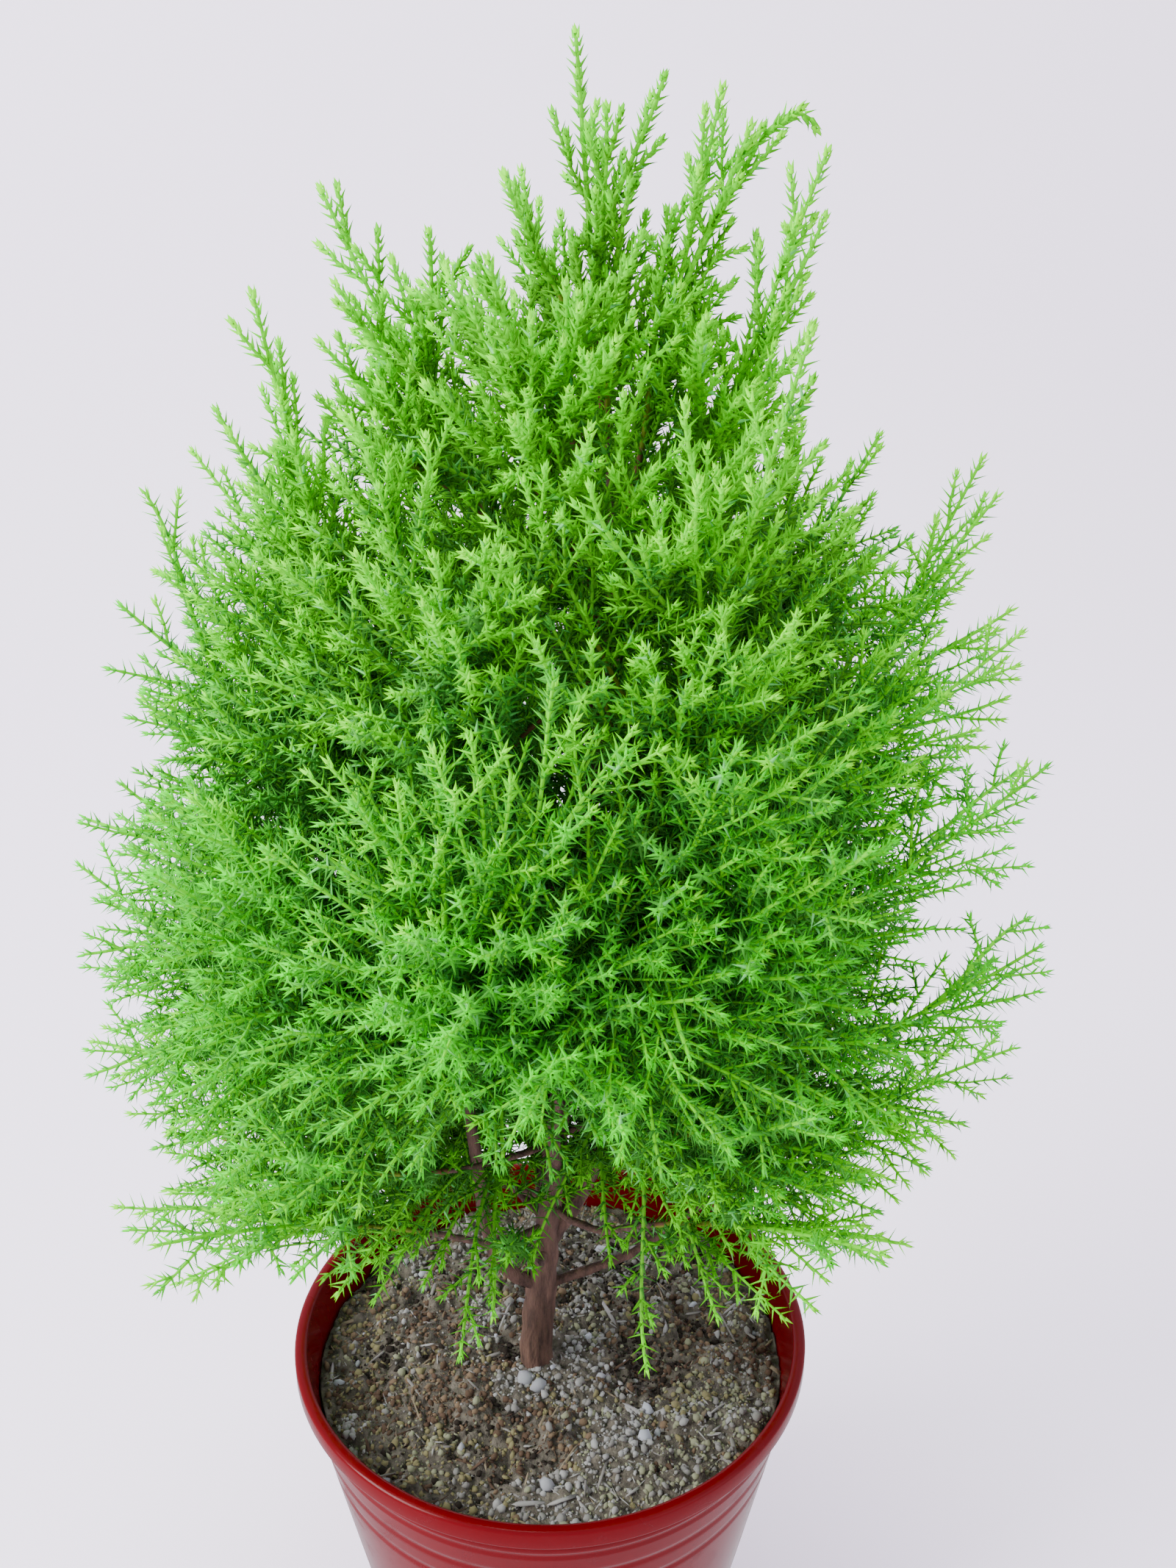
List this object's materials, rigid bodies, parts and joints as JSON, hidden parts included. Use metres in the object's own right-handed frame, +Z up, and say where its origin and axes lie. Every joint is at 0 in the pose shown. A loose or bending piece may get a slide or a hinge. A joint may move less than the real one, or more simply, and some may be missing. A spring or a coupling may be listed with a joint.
{
  "type": "potted monterey cypress",
  "caption": "Small feathery lemon-scented cypress with a low-forked trunk and upswept boughs, growing in a round tapered pot with a rolled rim.",
  "frame": {"origin": "centre of the flat underside of the pot, which stands on the floor", "axes": "+Z up along the pot's axis to the top of the plant, +X to the right and -Y towards a viewer in front, as the picture sees it"},
  "size_m": [0.2575, 0.2154, 0.472],
  "materials": {
    "red_plastic": "glossy moulded plastic with fine scuffs",
    "potting_mix": "loose matt grains with pale lumps and bark bits",
    "bark": "matt fibrous reddish-brown bark, green on the young wood",
    "green_foliage": "soft bright green awl-shaped needles"
  },
  "bodies": {
    "root": {"bough_lower_back": "bark", "bough_lower_back_left": "bark", "bough_lower_back_right": "bark", "bough_lower_front_left": "bark", "bough_lower_front_right": "bark", "bough_lower_left": "bark", "bough_lower_right": "bark", "bough_plume_back": "bark", "bough_plume_front": "bark", "bough_plume_left": "bark", "bough_plume_right": "bark", "bough_skirt_back": "bark", "bough_skirt_back_left": "bark", "bough_skirt_back_right": "bark", "bough_skirt_front": "bark", "bough_skirt_front_left": "bark", "bough_skirt_front_right": "bark", "bough_skirt_left": "bark", "bough_skirt_right": "bark", "foliage_leader": "green_foliage", "foliage_lower_back": "green_foliage", "foliage_lower_back_left": "green_foliage", "foliage_lower_back_right": "green_foliage", "foliage_lower_front_left": "green_foliage", "foliage_lower_front_right": "green_foliage", "foliage_lower_left": "green_foliage", "foliage_lower_right": "green_foliage", "foliage_middle_back_left": "green_foliage", "foliage_middle_back_right": "green_foliage", "foliage_middle_front": "green_foliage", "foliage_middle_front_left": "green_foliage", "foliage_middle_front_right": "green_foliage", "foliage_middle_left": "green_foliage", "foliage_middle_right": "green_foliage", "foliage_plume_back": "green_foliage", "foliage_plume_front": "green_foliage", "foliage_plume_left": "green_foliage", "foliage_plume_right": "green_foliage", "foliage_skirt_back": "green_foliage", "foliage_skirt_back_left": "green_foliage", "foliage_skirt_back_right": "green_foliage", "foliage_skirt_front": "green_foliage", "foliage_skirt_front_left": "green_foliage", "foliage_skirt_front_right": "green_foliage", "foliage_skirt_left": "green_foliage", "foliage_skirt_right": "green_foliage", "foliage_top_back": "green_foliage", "foliage_top_front": "green_foliage", "foliage_top_left": "green_foliage", "foliage_top_right": "green_foliage", "foliage_top_right_out": "green_foliage", "foliage_upper_back": "green_foliage", "foliage_upper_back_left": "green_foliage", "foliage_upper_back_right": "green_foliage", "foliage_upper_front_left": "green_foliage", "foliage_upper_left": "green_foliage", "foliage_upper_right": "green_foliage", "pot": "red_plastic", "soil": "potting_mix", "trunk": "bark"}
  },
  "joints": []
}
